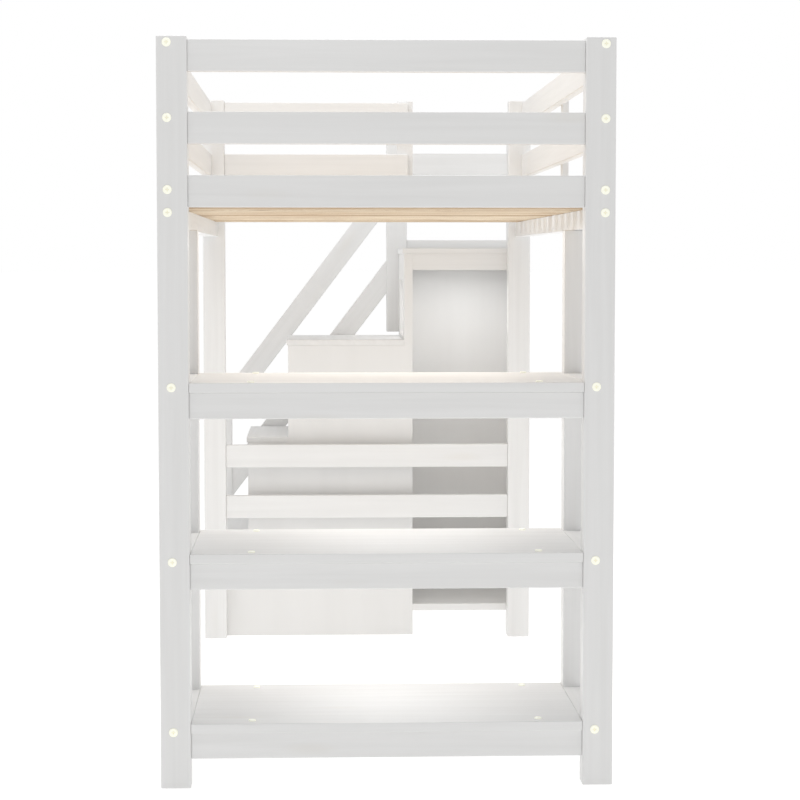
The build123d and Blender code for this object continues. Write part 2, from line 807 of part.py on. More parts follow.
screw_lengths = sorted({screw.length for screw in screws})
screw_places = [
    [screw.head().plane() for screw in screws if screw.length == length]
    for length in screw_lengths
]
keep(group_of([screw_pattern(length) for length in screw_lengths], screw_places), "wood_screws")

# Round caps over the screws in the shelf tops
with BuildPart() as dome:
    with BuildSketch():
        Circle(shelf_cap_radius)
    extrude(amount=shelf_cap_height)
    fillet(dome.faces().sort_by(Axis.Z)[-1].edges(), shelf_cap_edge)
dome_places = [Plane(origin=top) for top in shelf_screw_tops]
keep(group_of([dome.part], [dome_places]), "shelf_screw_caps")
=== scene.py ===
import logging
import math
from dataclasses import dataclass
from enum import Enum

import bmesh
import bpy
from mathutils import Matrix, Vector


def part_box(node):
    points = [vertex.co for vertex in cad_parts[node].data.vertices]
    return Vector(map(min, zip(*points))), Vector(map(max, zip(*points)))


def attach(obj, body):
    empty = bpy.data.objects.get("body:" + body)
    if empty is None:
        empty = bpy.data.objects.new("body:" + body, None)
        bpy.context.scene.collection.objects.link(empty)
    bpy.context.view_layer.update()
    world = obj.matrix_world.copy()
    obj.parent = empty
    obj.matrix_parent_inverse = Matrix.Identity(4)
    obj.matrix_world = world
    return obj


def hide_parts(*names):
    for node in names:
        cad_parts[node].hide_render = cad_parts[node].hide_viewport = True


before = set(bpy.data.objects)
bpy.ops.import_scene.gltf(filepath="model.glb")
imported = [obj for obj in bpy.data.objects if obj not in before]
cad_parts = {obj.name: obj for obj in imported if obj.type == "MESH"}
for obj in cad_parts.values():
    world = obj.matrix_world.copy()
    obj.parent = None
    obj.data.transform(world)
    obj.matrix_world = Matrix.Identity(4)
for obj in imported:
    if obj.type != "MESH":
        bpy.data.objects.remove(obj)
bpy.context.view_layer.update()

log = logging.getLogger("loft_bed")

Colour = tuple[float, float, float]
Point = tuple[float, float, float]
# Cycles per metre with the grain and across it.
Stretch = tuple[float, float]

QUARTER_TURN = math.radians(90.0)
RAIL_SLOPE = math.radians(52.8)
WHITE = (1.0, 1.0, 1.0, 1.0)


class Grain(Enum):
    """The way the grain runs through a board, as a turn that brings it onto the X axis."""

    ACROSS = (0.0, 0.0, 0.0)
    LENGTHWAYS = (0.0, 0.0, -QUARTER_TURN)
    UPRIGHT = (0.0, QUARTER_TURN, 0.0)
    SLOPED = (0.0, RAIL_SLOPE, 0.0)


class Recipe:
    """A material's nodes, put together one step at a time."""

    def __init__(self, name: str) -> None:
        """Start a material with a bare Principled shader.

        Args:
            name: The material's name.
        """
        self.material = bpy.data.materials.new(name)
        self.material.use_nodes = True
        self.tree = self.material.node_tree
        self.shader = self.tree.nodes["Principled BSDF"]
        spot = self.tree.nodes.new("ShaderNodeTexCoord")
        self.place = spot.outputs["Object"]
        self.facing = spot.outputs["Normal"]

    def step(self, kind: str, settings: dict[str, object], **inputs: object) -> bpy.types.Node:
        """Add one node.

        Args:
            kind: The node type without its ShaderNode prefix.
            settings: The node's own properties.
            inputs: Values or sockets for its inputs, with _ for a space in their names.

        Returns:
            The new node.
        """
        node = self.tree.nodes.new("ShaderNode" + kind)
        for key, value in settings.items():
            setattr(node, key, value)
        for key, value in inputs.items():
            self.feed(node.inputs[key.replace("_", " ")], value)
        return node

    def feed(self, socket: bpy.types.NodeSocket, value: object) -> None:
        """Give a socket a value, or link another socket to it.

        Args:
            socket: The input to fill.
            value: A number, a tuple or an output socket.
        """
        if isinstance(value, bpy.types.NodeSocket):
            self.tree.links.new(value, socket)
        else:
            socket.default_value = value

    def turned(self, grain: Grain, stretch: Stretch) -> bpy.types.NodeSocket:
        """Coordinates whose X runs with the grain.

        Args:
            grain: The way the grain runs.
            stretch: Cycles per metre with the grain and across it.

        Returns:
            The scaled vector.
        """
        along, across = stretch
        turn = self.step("Mapping", {"vector_type": "TEXTURE"}, Vector=self.place)
        turn.inputs["Rotation"].default_value = tuple(-angle for angle in grain.value)
        scale = self.step("Mapping", {}, Vector=turn.outputs["Vector"])
        scale.inputs["Scale"].default_value = (along, across, across)
        return scale.outputs["Vector"]

    def cloud(self, vector: bpy.types.NodeSocket, scale: float, detail: float,
              warp: float = 0.0) -> bpy.types.NodeSocket:
        """A noise value from 0 to 1.

        Args:
            vector: Where it is read.
            scale: Its scale in that vector's units.
            detail: Octaves of finer noise.
            warp: How far it bends itself.

        Returns:
            The noise's value.
        """
        noise = self.step("TexNoise", {}, Vector=vector, Scale=scale, Detail=detail,
                          Roughness=0.55, Distortion=warp)
        return noise.outputs["Fac"]

    def spots(self, grain: Grain, stretch: Stretch) -> bpy.types.NodeSocket:
        """How far a place is from the nearest of some scattered spots, such as knots.

        Args:
            grain: The way the grain runs.
            stretch: Spots per metre with the grain and across it.

        Returns:
            The distance, in spacings.
        """
        spots = self.step("TexVoronoi", {"feature": "F1"}, Vector=self.turned(grain, stretch),
                          Scale=1.0, Randomness=1.0)
        return spots.outputs["Distance"]

    def band(self, value: bpy.types.NodeSocket, low: float, high: float,
             start: float = 0.0, end: float = 1.0) -> bpy.types.NodeSocket:
        """A value stretched from one range to another, and clamped.

        Args:
            value: What is stretched.
            low: Where the range starts.
            high: Where it ends.
            start: What comes out at low.
            end: What comes out at high.

        Returns:
            The stretched value.
        """
        ramp = self.step("MapRange", {}, Value=value)
        for key, number in (("From Min", low), ("From Max", high), ("To Min", start),
                            ("To Max", end)):
            ramp.inputs[key].default_value = number
        return ramp.outputs["Result"]

    def blend(self, share: object, first: object, second: object) -> bpy.types.NodeSocket:
        """Two colours mixed.

        Args:
            share: How much of the second, as a number or a socket.
            first: The first colour or socket.
            second: The second colour or socket.

        Returns:
            The mixed colour.
        """
        mix = self.tree.nodes.new("ShaderNodeMix")
        mix.data_type = "RGBA"
        self.feed(mix.inputs["Factor"], share)
        for name, value in (("A", first), ("B", second)):
            socket = next(s for s in mix.inputs if s.name == name and s.type == "RGBA")
            self.feed(socket, (*value, 1.0) if isinstance(value, tuple) else value)
        return next(s for s in mix.outputs if s.type == "RGBA")

    def maths(self, kind: str, first: object, second: object) -> bpy.types.NodeSocket:
        """Arithmetic on two numbers or sockets.

        Args:
            kind: The operation, such as ADD.
            first: The first term.
            second: The second term.

        Returns:
            The result.
        """
        node = self.tree.nodes.new("ShaderNodeMath")
        node.operation = kind
        self.feed(node.inputs[0], first)
        self.feed(node.inputs[1], second)
        return node.outputs["Value"]

    def relief(self, *layers: tuple[bpy.types.NodeSocket, float]) -> None:
        """Bump layers, one on another, on the shader's normal.

        Args:
            layers: Each layer's height from 0 to 1 and its full height in metres.
        """
        normal = None
        for height, metres in layers:
            bump = self.step("Bump", {}, Height=height, Strength=1.0, Distance=metres)
            if normal is not None:
                self.feed(bump.inputs["Normal"], normal)
            normal = bump.outputs["Normal"]
        self.feed(self.shader.inputs["Normal"], normal)


@dataclass(frozen=True)
class PaintedWood:
    """White paint over sawn pine: soft streaks, faint knots and a brushed sheen."""

    light: Colour = (0.815, 0.813, 0.808)
    shade: Colour = (0.768, 0.765, 0.758)
    knot: Colour = (0.75, 0.725, 0.68)
    sheen: float = 0.42
    specular: float = 0.38
    streak_stretch: Stretch = (1.0, 26.0)
    pore_stretch: Stretch = (9.0, 420.0)
    brush_stretch: Stretch = (22.0, 1400.0)
    knot_stretch: Stretch = (2.1, 8.5)
    wash_scale: float = 2.4
    wash_share: float = 0.35
    knot_share: float = 0.3
    streak_height: float = 0.00022
    pore_height: float = 0.00009
    brush_height: float = 0.00004

    def material(self, grain: Grain) -> bpy.types.Material:
        """The paint on boards whose grain runs one way.

        Args:
            grain: The way the grain runs.

        Returns:
            The material.
        """
        recipe = Recipe(f"white_paint_{grain.name.lower()}")
        streaks = recipe.cloud(recipe.turned(grain, self.streak_stretch), 1.6, 5.0, 0.6)
        pores = recipe.cloud(recipe.turned(grain, self.pore_stretch), 1.0, 3.0)
        brush = recipe.cloud(recipe.turned(grain, self.brush_stretch), 1.0, 2.0)
        wash = recipe.cloud(recipe.place, self.wash_scale, 3.0)
        knots = recipe.band(recipe.spots(grain, self.knot_stretch), 0.05, 0.16, 1.0, 0.0)
        tone = recipe.blend(recipe.band(streaks, 0.3, 0.7), self.light, self.shade)
        tone = recipe.blend(recipe.band(wash, 0.35, 0.75, 0.0, self.wash_share), tone, self.light)
        tone = recipe.blend(recipe.maths("MULTIPLY", knots, self.knot_share), tone, self.knot)
        recipe.feed(recipe.shader.inputs["Base Color"], tone)
        gloss = recipe.band(streaks, 0.2, 0.8, self.sheen - 0.05, self.sheen + 0.07)
        recipe.feed(recipe.shader.inputs["Roughness"], gloss)
        recipe.shader.inputs["Specular IOR Level"].default_value = self.specular
        recipe.relief((streaks, self.streak_height), (pores, self.pore_height),
                      (brush, self.brush_height))
        return recipe.material


@dataclass(frozen=True)
class PaintedPanel:
    """Rolled white paint on smooth board: a fine stipple and hardly any grain."""

    light: Colour = (0.812, 0.808, 0.80)
    shade: Colour = (0.778, 0.773, 0.764)
    sheen: float = 0.46
    specular: float = 0.36
    stipple_scale: float = 620.0
    lap_stretch: Stretch = (0.8, 9.0)
    sag_scale: float = 3.0
    stipple_height: float = 0.00007
    sag_height: float = 0.0003

    def material(self) -> bpy.types.Material:
        """The rolled paint.

        Returns:
            The material.
        """
        recipe = Recipe("white_paint_panel")
        stipple = recipe.cloud(recipe.place, self.stipple_scale, 2.0)
        lap = recipe.cloud(recipe.turned(Grain.UPRIGHT, self.lap_stretch), 1.0, 3.0)
        sag = recipe.cloud(recipe.place, self.sag_scale, 2.0)
        tone = recipe.blend(recipe.band(lap, 0.3, 0.7), self.light, self.shade)
        recipe.feed(recipe.shader.inputs["Base Color"], tone)
        gloss = recipe.band(stipple, 0.3, 0.7, self.sheen - 0.04, self.sheen + 0.06)
        recipe.feed(recipe.shader.inputs["Roughness"], gloss)
        recipe.shader.inputs["Specular IOR Level"].default_value = self.specular
        recipe.relief((sag, self.sag_height), (stipple, self.stipple_height))
        return recipe.material


@dataclass(frozen=True)
class BarePine:
    """Bare pine: growth bands along the board, darker late wood, knots and a dry surface."""

    early: Colour = (0.87, 0.75, 0.57)
    late: Colour = (0.52, 0.33, 0.17)
    sap: Colour = (0.92, 0.85, 0.70)
    streak: Colour = (0.40, 0.24, 0.12)
    # Painted shade for the slats' long edges.
    edge_shade: Colour = (0.34, 0.20, 0.11)
    knot: Colour = (0.21, 0.105, 0.05)
    board_start: float = -1.2504
    board_pitch: float = 0.13867
    board_shift: float = 3.0
    dark_every: float = 6.0
    specular: float = 0.25
    knot_stretch: Stretch = (2.4, 8.0)
    ring_stretch: Stretch = (0.55, 15.0)
    fibre_stretch: Stretch = (10.0, 520.0)
    figure_stretch: Stretch = (4.5, 10.0)
    dash_stretch: Stretch = (4.0, 42.0)
    knot_bend: float = 1.1
    ring_height: float = 0.00025
    fibre_height: float = 0.00012

    def rows(self, recipe: Recipe) -> bpy.types.NodeSocket:
        """Number the boards from the near end of the bed.

        Args:
            recipe: The material being made.

        Returns:
            The number of the board that a place is on.
        """
        split = recipe.step("SeparateXYZ", {}, Vector=recipe.place)
        past = recipe.maths("SUBTRACT", split.outputs["Y"], self.board_start)
        return recipe.maths("FLOOR", recipe.maths("DIVIDE", past, self.board_pitch), 0.0)

    def shift(self, recipe: Recipe, own: bpy.types.Node) -> None:
        """Move the pattern by a different way on each board.

        Args:
            recipe: The material, whose place is moved.
            own: The board's own random colour and value.
        """
        way = recipe.step("VectorMath", {"operation": "SCALE"}, Vector=own.outputs["Color"],
                          Scale=self.board_shift)
        moved = recipe.step("VectorMath", {"operation": "ADD"})
        recipe.feed(moved.inputs[0], recipe.place)
        recipe.feed(moved.inputs[1], way.outputs["Vector"])
        recipe.place = moved.outputs["Vector"]

    def rings(self, recipe: Recipe, spots: bpy.types.NodeSocket) -> bpy.types.NodeSocket:
        """Growth bands that bend round the knots.

        Args:
            recipe: The material being made.
            spots: How far the nearest knot is.

        Returns:
            The bands, from 0 in early wood to 1 in late wood.
        """
        near_knot = recipe.band(spots, 0.03, 0.32, 1.0, 0.0)
        bend = recipe.step("VectorMath", {"operation": "ADD"})
        recipe.feed(bend.inputs[0], recipe.turned(Grain.ACROSS, self.ring_stretch))
        recipe.feed(bend.inputs[1], recipe.maths("MULTIPLY", near_knot, self.knot_bend))
        rings = recipe.step("TexWave", {"wave_type": "BANDS", "bands_direction": "DIAGONAL"},
                            Vector=bend.outputs["Vector"], Scale=1.1, Distortion=4.5,
                            Detail=3.0, Detail_Scale=1.3)
        return rings.outputs["Fac"]

    def material(self) -> bpy.types.Material:
        """The bare wood of boards that lie across the bed.

        Returns:
            The material.
        """
        recipe = Recipe("raw_pine_across")
        row = self.rows(recipe)
        own = recipe.step("TexWhiteNoise", {"noise_dimensions": "1D"}, W=row)
        self.shift(recipe, own)
        spots = recipe.spots(Grain.ACROSS, self.knot_stretch)
        rings = self.rings(recipe, spots)
        fibre = recipe.cloud(recipe.turned(Grain.ACROSS, self.fibre_stretch), 1.0, 3.0)
        figure = recipe.cloud(recipe.turned(Grain.ACROSS, self.figure_stretch), 1.0, 2.0)
        dashes = recipe.cloud(recipe.turned(Grain.ACROSS, self.dash_stretch), 1.0, 3.0, 0.4)
        dark_board = recipe.maths("MODULO", row, self.dark_every)
        # Painted shade: faces that look along the deck, the slats' long edges, are darkened
        # towards edge_shade for the shadow in the gaps between slats.
        facing = recipe.step("SeparateXYZ", {}, Vector=recipe.facing)
        edge = recipe.maths("ABSOLUTE", facing.outputs["Y"], 0.0)
        tone = recipe.blend(recipe.band(rings, 0.55, 1.0, 0.0, 0.8), self.early, self.late)
        for share, colour in ((recipe.band(own.outputs["Value"], 0.0, 1.0, 0.05, 0.5), self.sap),
                              (recipe.band(dashes, 0.54, 0.64, 0.0, 0.6), self.streak),
                              (recipe.band(figure, 0.54, 0.68, 0.0, 0.45), self.late),
                              (recipe.band(dark_board, 0.2, 0.8, 0.55, 0.0), self.streak),
                              (recipe.band(fibre, 0.35, 0.8, 0.0, 0.3), self.late),
                              (recipe.band(spots, 0.03, 0.1, 0.85, 0.0), self.knot),
                              (recipe.band(edge, 0.5, 0.8, 0.0, 0.7), self.edge_shade)):
            tone = recipe.blend(share, tone, colour)
        recipe.feed(recipe.shader.inputs["Base Color"], tone)
        recipe.feed(recipe.shader.inputs["Roughness"], recipe.band(fibre, 0.2, 0.8, 0.62, 0.78))
        recipe.shader.inputs["Specular IOR Level"].default_value = self.specular
        recipe.relief((rings, self.ring_height), (fibre, self.fibre_height))
        return recipe.material


@dataclass(frozen=True)
class CapPlastic:
    """Cream moulded plastic with a soft sheen, painted shade down in its cross recess and a faint
    painted glow.
    """

    body: Colour = (1.0, 1.0, 0.87)
    worn: Colour = (0.97, 0.96, 0.79)
    sheen: float = 0.34
    # Painted shade: the colour the cross recess is darkened towards.
    recess_shade: Colour = (0.52, 0.44, 0.25)
    recess_shade_reach: float = 0.0015
    # Painted light: the cap glows faintly in its own colour, though it is no lamp.
    painted_glow: float = 0.13
    mould_scale: float = 1500.0
    patch_scale: float = 90.0
    mould_height: float = 0.00004

    def material(self) -> bpy.types.Material:
        """The moulded plastic.

        Returns:
            The material.
        """
        recipe = Recipe("cream_plastic_cap")
        fine = recipe.cloud(recipe.place, self.mould_scale, 2.0)
        patch = recipe.cloud(recipe.place, self.patch_scale, 2.0)
        # Painted shade: ambient occlusion darkens the cross recess towards recess_shade.
        occlusion = recipe.step("AmbientOcclusion", {"only_local": True, "samples": 8},
                              Distance=self.recess_shade_reach)
        tone = recipe.blend(recipe.band(patch, 0.35, 0.7, 0.0, 0.5), self.body, self.worn)
        tone = recipe.blend(recipe.band(occlusion.outputs["AO"], 0.45, 0.95, 0.9, 0.0), tone,
                            self.recess_shade)
        recipe.feed(recipe.shader.inputs["Base Color"], tone)
        recipe.feed(recipe.shader.inputs["Roughness"],
                    recipe.band(fine, 0.3, 0.7, self.sheen, self.sheen + 0.08))
        # Painted light: a faint glow in the body colour.
        recipe.shader.inputs["Emission Color"].default_value = (*self.body, 1.0)
        recipe.shader.inputs["Emission Strength"].default_value = self.painted_glow
        recipe.relief((fine, self.mould_height))
        return recipe.material


@dataclass(frozen=True)
class ZincSteel:
    """Zinc-plated steel with a dull, cloudy shine."""

    bright: Colour = (0.66, 0.67, 0.69)
    dull: Colour = (0.50, 0.515, 0.54)
    cloud_scale: float = 260.0
    grit_scale: float = 2400.0
    grit_height: float = 0.00002

    def material(self) -> bpy.types.Material:
        """The plated steel.

        Returns:
            The material.
        """
        recipe = Recipe("zinc_steel_plated")
        cloudy = recipe.cloud(recipe.place, self.cloud_scale, 4.0)
        grit = recipe.cloud(recipe.place, self.grit_scale, 2.0)
        recipe.feed(recipe.shader.inputs["Base Color"],
                    recipe.blend(recipe.band(cloudy, 0.3, 0.7), self.bright, self.dull))
        recipe.feed(recipe.shader.inputs["Roughness"], recipe.band(cloudy, 0.3, 0.7, 0.28, 0.42))
        recipe.shader.inputs["Metallic"].default_value = 1.0
        recipe.relief((grit, self.grit_height))
        return recipe.material


@dataclass(frozen=True)
class BeechPin:
    """Bare beech, with the short flecks of its rays."""

    ground: Colour = (0.68, 0.47, 0.28)
    fleck: Colour = (0.50, 0.31, 0.17)
    roughness: float = 0.6
    fleck_stretch: Stretch = (90.0, 900.0)
    fleck_height: float = 0.00008

    def material(self) -> bpy.types.Material:
        """The bare beech.

        Returns:
            The material.
        """
        recipe = Recipe("beech_dowel_bare")
        flecks = recipe.cloud(recipe.turned(Grain.ACROSS, self.fleck_stretch), 1.0, 2.0)
        recipe.feed(recipe.shader.inputs["Base Color"],
                    recipe.blend(recipe.band(flecks, 0.5, 0.75), self.ground, self.fleck))
        recipe.shader.inputs["Roughness"].default_value = self.roughness
        recipe.relief((flecks, self.fleck_height))
        return recipe.material


class Finishes:
    """Every finish on the bed, made once."""

    def __init__(self) -> None:
        """Make the materials."""
        wood = PaintedWood()
        self.painted = {grain: wood.material(grain) for grain in Grain}
        self.panel = PaintedPanel().material()
        self.pine = BarePine().material()
        self.plastic = CapPlastic().material()
        self.steel = ZincSteel().material()
        self.beech = BeechPin().material()


def dress(node: str, material: bpy.types.Material) -> None:
    """Give a CAD node its material.

    Args:
        node: The node's name.
        material: What its slots hold from now on.
    """
    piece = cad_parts[node]
    if not piece.material_slots:
        piece.data.materials.append(material)
    for slot in piece.material_slots:
        slot.material = material
    low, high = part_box(node)
    log.info("%s: %s, %.0f x %.0f x %.0f mm", node, material.name,
             *(1000.0 * side for side in high - low))


@dataclass
class BedFrame:
    """The four posts, the rails between them and the stile beside the entry gap."""

    finishes: Finishes
    sides: tuple[str, ...] = ("left", "right")
    levels: tuple[str, ...] = ("top", "middle")

    def dress(self) -> None:
        """Paint every post and rail with the grain along it."""
        for side in self.sides:
            for post in (f"post_near_{side}", f"post_far_{side}", f"inner_post_{side}"):
                dress(post, self.finishes.painted[Grain.UPRIGHT])
            lengthways = [f"guard_rail_{side}_{level}" for level in self.levels]
            for rail in (*lengthways, f"bed_rail_{side}"):
                dress(rail, self.finishes.painted[Grain.LENGTHWAYS])
        across = [f"guard_rail_{end}_{level}" for end in ("near", "far") for level in self.levels]
        across += ["bed_end_rail_near", "bed_end_rail_far", "low_rail_far_lower",
                   "low_rail_far_upper"]
        for rail in across:
            dress(rail, self.finishes.painted[Grain.ACROSS])
        for upright in ("entry_stile", "guard_battens"):
            dress(upright, self.finishes.painted[Grain.UPRIGHT])


@dataclass
class SlatDeck:
    """The bare slats and the ledgers that carry them."""

    finishes: Finishes

    def dress(self) -> None:
        """Leave the slats bare and paint the ledgers."""
        dress("bed_slats", self.finishes.pine)
        dress("slat_ledgers", self.finishes.painted[Grain.LENGTHWAYS])


@dataclass
class ShelfUnit:
    """Three open shelves on aprons and bearers under the near end."""

    finishes: Finishes
    levels: tuple[str, ...] = ("low", "middle", "high")

    def dress(self) -> None:
        """Paint the boards, aprons and bearers."""
        for level in self.levels:
            dress(f"shelf_board_{level}", self.finishes.painted[Grain.ACROSS])
            dress(f"shelf_apron_front_{level}", self.finishes.painted[Grain.ACROSS])
        dress("shelf_aprons_rear", self.finishes.painted[Grain.ACROSS])
        dress("shelf_bearers", self.finishes.painted[Grain.LENGTHWAYS])


@dataclass
class Staircase:
    """The panels, risers, treads and the open cabinet below the platform."""

    finishes: Finishes

    def dress(self) -> None:
        """Roll the panels and paint the treads."""
        for panel in ("stair_panel_inner", "stair_panel_outer", "riser_low", "riser_middle",
                      "riser_high", "cabinet_divider", "cabinet_side_panel", "cabinet_floor"):
            dress(panel, self.finishes.panel)
        for board in ("tread_low", "tread_middle", "tread_high"):
            dress(board, self.finishes.painted[Grain.LENGTHWAYS])
        for board in ("platform_board", "cabinet_top_rail", "stair_cleats"):
            dress(board, self.finishes.painted[Grain.ACROSS])


@dataclass
class Handrail:
    """The newels and the level and sloped rails on the staircase's outer side."""

    finishes: Finishes

    def dress(self) -> None:
        """Paint the newels upright and each rail along its length."""
        for newel in ("newel_low", "newel_high", "newel_end"):
            dress(newel, self.finishes.painted[Grain.UPRIGHT])
        for level in ("lower", "upper"):
            dress(f"platform_rail_{level}", self.finishes.painted[Grain.ACROSS])
            dress(f"sloped_rail_{level}", self.finishes.painted[Grain.SLOPED])


@dataclass(frozen=True)
class Screw:
    """One wood screw: the middle of its head's face, the way the face looks and its length."""

    face: Vector
    outward: Vector
    length: float

    def place(self) -> Matrix:
        """The turn and shift that bring a screw with its face up at the origin here."""
        turn = self.outward.to_track_quat("Z", "Y").to_matrix().to_4x4()
        return Matrix.Translation(self.face) @ turn


@dataclass
class Fixings:
    """Bolts with their nuts and caps, dowels, and countersunk screws with a cross recess."""

    finishes: Finishes
    head_radius: float = 0.0039
    head_rim: float = 0.0004
    head_depth: float = 0.002
    shank_radius: float = 0.0019
    tip_length: float = 0.004
    recess_arm: float = 0.0024
    recess_half_width: float = 0.00045
    recess_depth: float = 0.0011
    recess_taper: float = 0.7
    sides: int = 24
    # Turns the rings back by part of a side, so that their points stand by the cross's corners.
    ring_offset: float = 1.5
    weld: float = 1e-6
    end_share: float = 0.01

    def screws(self, node: str) -> list[Screw]:
        """Where each screw of a CAD node sits.

        Args:
            node: The node's name.

        Returns:
            One entry for each separate solid.
        """
        shell = bmesh.new()
        shell.from_mesh(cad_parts[node].data)
        bmesh.ops.remove_doubles(shell, verts=shell.verts, dist=self.weld)
        left = set(shell.verts)
        found = []
        while left:
            waiting, points = [left.pop()], []
            while waiting:
                vert = waiting.pop()
                points.append(vert.co.copy())
                near = {edge.other_vert(vert) for edge in vert.link_edges} & left
                left -= near
                waiting += near
            found.append(self.read(points))
        shell.free()
        return found

    def read(self, points: list[Vector]) -> Screw:
        """The screw that a solid's points describe.

        Args:
            points: The solid's corners.

        Returns:
            The screw, with its head at the wider end.
        """
        low = Vector(map(min, *points))
        high = Vector(map(max, *points))
        axis = max(range(3), key=lambda way: high[way] - low[way])
        centre = (low + high) / 2.0
        tolerance = (high[axis] - low[axis]) * self.end_share

        def width(level: float) -> float:
            """How far the points at one end lie from the axis."""
            ring = [p - centre for p in points if abs(p[axis] - level) < tolerance]
            return max(math.hypot(p[axis - 1], p[axis - 2]) for p in ring)

        outward = Vector((0.0, 0.0, 0.0))
        outward[axis] = 1.0 if width(high[axis]) > width(low[axis]) else -1.0
        face = centre.copy()
        face[axis] = high[axis] if outward[axis] > 0.0 else low[axis]
        return Screw(face, outward, high[axis] - low[axis])

    def ring(self, mesh: bmesh.types.BMesh, place: Matrix, radius: float,
             height: float) -> list[bmesh.types.BMVert]:
        """Points round a screw at one height.

        Args:
            mesh: The mesh they go in.
            place: Where the screw is.
            radius: The ring's radius.
            height: Its height over the head's face.

        Returns:
            The new points, in order.
        """
        step = 2.0 * math.pi / self.sides
        angles = [(index - self.ring_offset) * step for index in range(self.sides)]
        spots = [(radius * math.cos(a), radius * math.sin(a), height) for a in angles]
        return [mesh.verts.new(place @ Vector(spot)) for spot in spots]

    def cross(self, mesh: bmesh.types.BMesh, place: Matrix, share: float,
              height: float) -> list[bmesh.types.BMVert]:
        """The outline of the cross recess at one height.

        Args:
            mesh: The mesh it goes in.
            place: Where the screw is.
            share: Its size against the recess's mouth.
            height: Its height over the head's face.

        Returns:
            The twelve new points, in order.
        """
        arm, half = self.recess_arm * share, self.recess_half_width * share
        points = []
        for quarter in range(4):
            turn = Matrix.Rotation(quarter * QUARTER_TURN, 4, "Z")
            for x, y in ((arm, -half), (arm, half), (half, half)):
                points.append(mesh.verts.new(place @ turn @ Vector((x, y, height))))
        return points

    def band(self, mesh: bmesh.types.BMesh, upper: list[bmesh.types.BMVert],
             lower: list[bmesh.types.BMVert]) -> None:
        """Faces between two rings of as many points.

        Args:
            mesh: The mesh they go in.
            upper: The ring nearer the head's face.
            lower: The ring below it.
        """
        count = len(upper)
        for index in range(count):
            after = (index + 1) % count
            mesh.faces.new((upper[after], upper[index], lower[index], lower[after]))

    def add_screw(self, mesh: bmesh.types.BMesh, screw: Screw) -> None:
        """Build one screw.

        Args:
            mesh: The mesh it goes in.
            screw: Where it sits.
        """
        place = screw.place()
        profile = ((self.head_radius - self.head_rim / 2.0, 0.0),
                   (self.head_radius, -self.head_rim / 2.0),
                   (self.head_radius, -self.head_rim),
                   (self.shank_radius, -self.head_depth),
                   (self.shank_radius, self.tip_length - screw.length))
        rings = [self.ring(mesh, place, radius, height) for radius, height in profile]
        for upper, lower in zip(rings, rings[1:]):
            self.band(mesh, upper, lower)
        tip = mesh.verts.new(place @ Vector((0.0, 0.0, -screw.length)))
        mouth = self.cross(mesh, place, 1.0, 0.0)
        floor = self.cross(mesh, place, self.recess_taper, -self.recess_depth)
        self.band(mesh, [*reversed(mouth)], [*reversed(floor)])
        mesh.faces.new(floor)
        rim = rings[0]
        for index in range(self.sides):
            after, corner = (index + 1) % self.sides, index // 2
            mesh.faces.new((rings[-1][after], rings[-1][index], tip))
            inner = [mouth[corner]]
            if index % 2:
                inner = [mouth[(corner + 1) % len(mouth)], mouth[corner]]
            mesh.faces.new((rim[index], rim[after], *inner))

    def build_screws(self) -> None:
        """Put a modelled screw where each plain CAD screw is."""
        shell = bmesh.new()
        spots = self.screws("wood_screws")
        for screw in spots:
            self.add_screw(shell, screw)
        bmesh.ops.recalc_face_normals(shell, faces=shell.faces)
        mesh = bpy.data.meshes.new("countersunk_screws")
        shell.to_mesh(mesh)
        shell.free()
        mesh.materials.append(self.finishes.steel)
        piece = bpy.data.objects.new("countersunk_screws", mesh)
        bpy.context.scene.collection.objects.link(piece)
        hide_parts("wood_screws")
        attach(piece, "root")
        log.info("countersunk_screws: %d screws with a cross recess", len(spots))

    def dress(self) -> None:
        """Give each kind of fixing its metal, plastic or wood."""
        for caps in ("bolt_caps", "shelf_screw_caps"):
            dress(caps, self.finishes.plastic)
        for metal in ("connector_bolts", "barrel_nuts"):
            dress(metal, self.finishes.steel)
        dress("dowel_pins", self.finishes.beech)
        self.build_screws()


@dataclass(frozen=True)
class Lamp:
    """One soft square light, which the camera doesn't see."""

    name: str
    place: Point
    aim: Point
    size: float
    power: float

    def hang(self) -> None:
        """Put the light in the scene, facing the point it is aimed at."""
        light = bpy.data.lights.new(self.name, "AREA")
        light.size = self.size
        light.energy = self.power
        holder = bpy.data.objects.new(self.name, light)
        holder.location = self.place
        way = Vector(self.aim) - Vector(self.place)
        holder.rotation_euler = way.to_track_quat("-Z", "Y").to_euler()
        holder.visible_camera = False
        bpy.context.scene.collection.objects.link(holder)


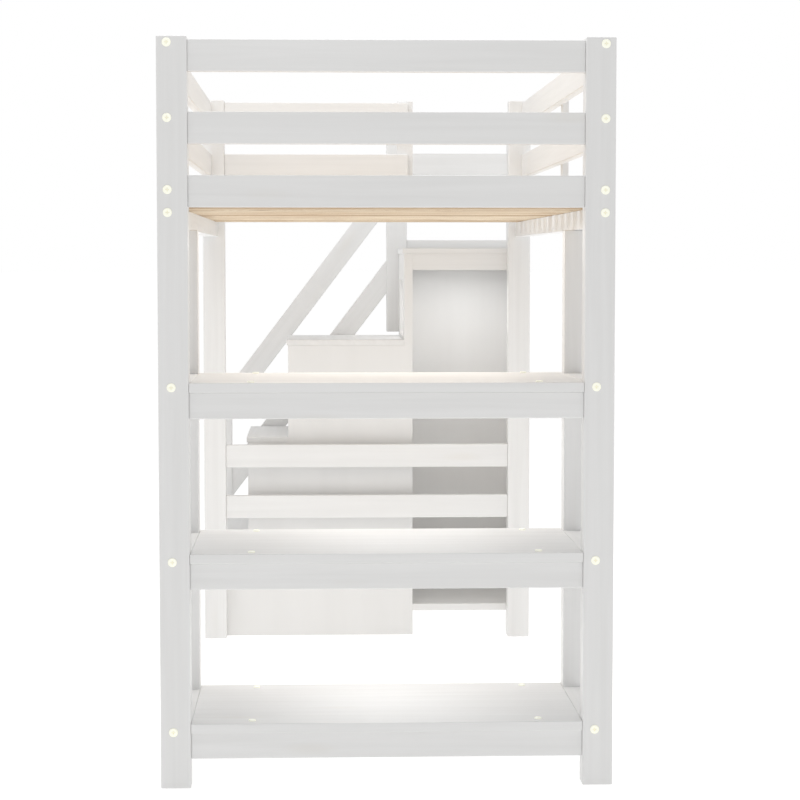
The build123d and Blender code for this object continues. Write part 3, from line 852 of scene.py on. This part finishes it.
@dataclass
class Studio:
    """The camera, a pale floor, a bright surround and soft lights."""

    eye: Point = (-0.1615, -6.297, 1.2238)
    tilt_down: float = 3.682
    turn_right: float = 2.184
    lens: float = 98.2
    sensor: float = 36.0
    sight: float = 500.0
    sky: float = 0.60
    floor_glow: float = 0.56
    floor_colour: Colour = (0.76, 0.76, 0.755)
    floor_roughness: float = 0.9
    floor_span: float = 400.0
    shelf_gap: float = 0.02
    shelf_size: float = 0.3
    middle_shelf_power: float = 0.5
    low_shelf_power: float = 0.7
    lamps: tuple[Lamp, ...] = (
        Lamp("light_left", (-5.0, 1.3, 2.0), (0.0, -0.9, 0.6), 3.0, 42.0),
        Lamp("light_right", (5.0, 1.3, 2.0), (0.0, -0.9, 0.6), 3.0, 42.0),
        Lamp("light_top", (0.0, 0.3, 6.0), (0.0, -0.2, 0.0), 4.0, 45.0),
        Lamp("light_over_bed", (-0.25, -0.5, 2.6), (0.0, -0.35, 1.3), 1.9, 19.0),
        Lamp("light_under_bed", (0.0, -0.35, 1.28), (0.0, -0.45, 0.0), 0.8, 3.4),
        Lamp("light_cabinet", (0.326, 0.93, 1.17), (0.326, 1.0, 0.0), 0.24, 0.8),
    )

    def camera(self) -> None:
        """Stand the camera where the photograph was taken from."""
        lens = bpy.data.cameras.new("studio_camera")
        lens.lens = self.lens
        lens.sensor_width = self.sensor
        lens.clip_end = self.sight
        camera = bpy.data.objects.new("studio_camera", lens)
        camera.location = self.eye
        camera.rotation_euler = (QUARTER_TURN - math.radians(self.tilt_down), 0.0,
                                 math.radians(-self.turn_right))
        bpy.context.scene.collection.objects.link(camera)
        bpy.context.scene.camera = camera

    def floor(self) -> None:
        """Lay a wide pale floor."""
        mesh = bpy.data.meshes.new("studio_floor")
        half = self.floor_span / 2.0
        corners = [(-half, -half, 0.0), (half, -half, 0.0), (half, half, 0.0), (-half, half, 0.0)]
        mesh.from_pydata(corners, [], [(0, 1, 2, 3)])
        floor = bpy.data.objects.new("studio_floor", mesh)
        recipe = Recipe("studio_floor_pale")
        for socket, value in (("Base Color", (*self.floor_colour, 1.0)),
                              ("Roughness", self.floor_roughness),
                              ("Specular IOR Level", 0.0),
                              ("Emission Color", WHITE),
                              ("Emission Strength", self.floor_glow)):
            recipe.shader.inputs[socket].default_value = value
        mesh.materials.append(recipe.material)
        bpy.context.scene.collection.objects.link(floor)

    def surround(self) -> None:
        """A bright surround that the camera sees as plain white."""
        world = bpy.data.worlds.new("studio_surround")
        world.use_nodes = True
        nodes, links = world.node_tree.nodes, world.node_tree.links
        lit = nodes["Background"]
        lit.inputs["Color"].default_value = WHITE
        lit.inputs["Strength"].default_value = self.sky
        seen = nodes.new("ShaderNodeBackground")
        seen.inputs["Color"].default_value = WHITE
        path = nodes.new("ShaderNodeLightPath")
        mix = nodes.new("ShaderNodeMixShader")
        links.new(path.outputs["Is Camera Ray"], mix.inputs["Fac"])
        links.new(lit.outputs["Background"], mix.inputs[1])
        links.new(seen.outputs["Background"], mix.inputs[2])
        links.new(mix.outputs["Shader"], nodes["World Output"].inputs["Surface"])
        bpy.context.scene.world = world
        bpy.context.scene.view_settings.view_transform = "Standard"

    def shelf_lamp(self, level: str, above: str, power: float) -> Lamp:
        """A small light under one shelf that shines on the next one down.

        Args:
            level: The shelf that is lit.
            above: The shelf that the light hangs under.
            power: Its power in watts.

        Returns:
            The light.
        """
        low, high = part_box(f"shelf_board_{above}")
        x, y, z = (low[0] + high[0]) / 2.0, (low[1] + high[1]) / 2.0, low[2] - self.shelf_gap
        return Lamp(f"light_{level}_shelf", (x, y, z), (x, y, 0.0), self.shelf_size, power)

    def build(self) -> None:
        """Set up camera, floor, surround and lights."""
        self.camera()
        self.floor()
        self.surround()
        shelf_lamps = (self.shelf_lamp("middle", "high", self.middle_shelf_power),
                       self.shelf_lamp("low", "middle", self.low_shelf_power))
        for lamp in (*self.lamps, *shelf_lamps):
            lamp.hang()
        log.info("studio: camera at %s with a %.1f mm lens", self.eye, self.lens)


def main() -> None:
    """Dress every sub-assembly in order, then set up the studio and note the sizes."""
    logging.basicConfig(level=logging.INFO, format="%(name)s: %(message)s")
    finishes = Finishes()
    for part in (BedFrame(finishes), SlatDeck(finishes), ShelfUnit(finishes),
                 Staircase(finishes), Handrail(finishes), Fixings(finishes)):
        part.dress()
    Studio().build()


if __name__ == "__main__":
    main()
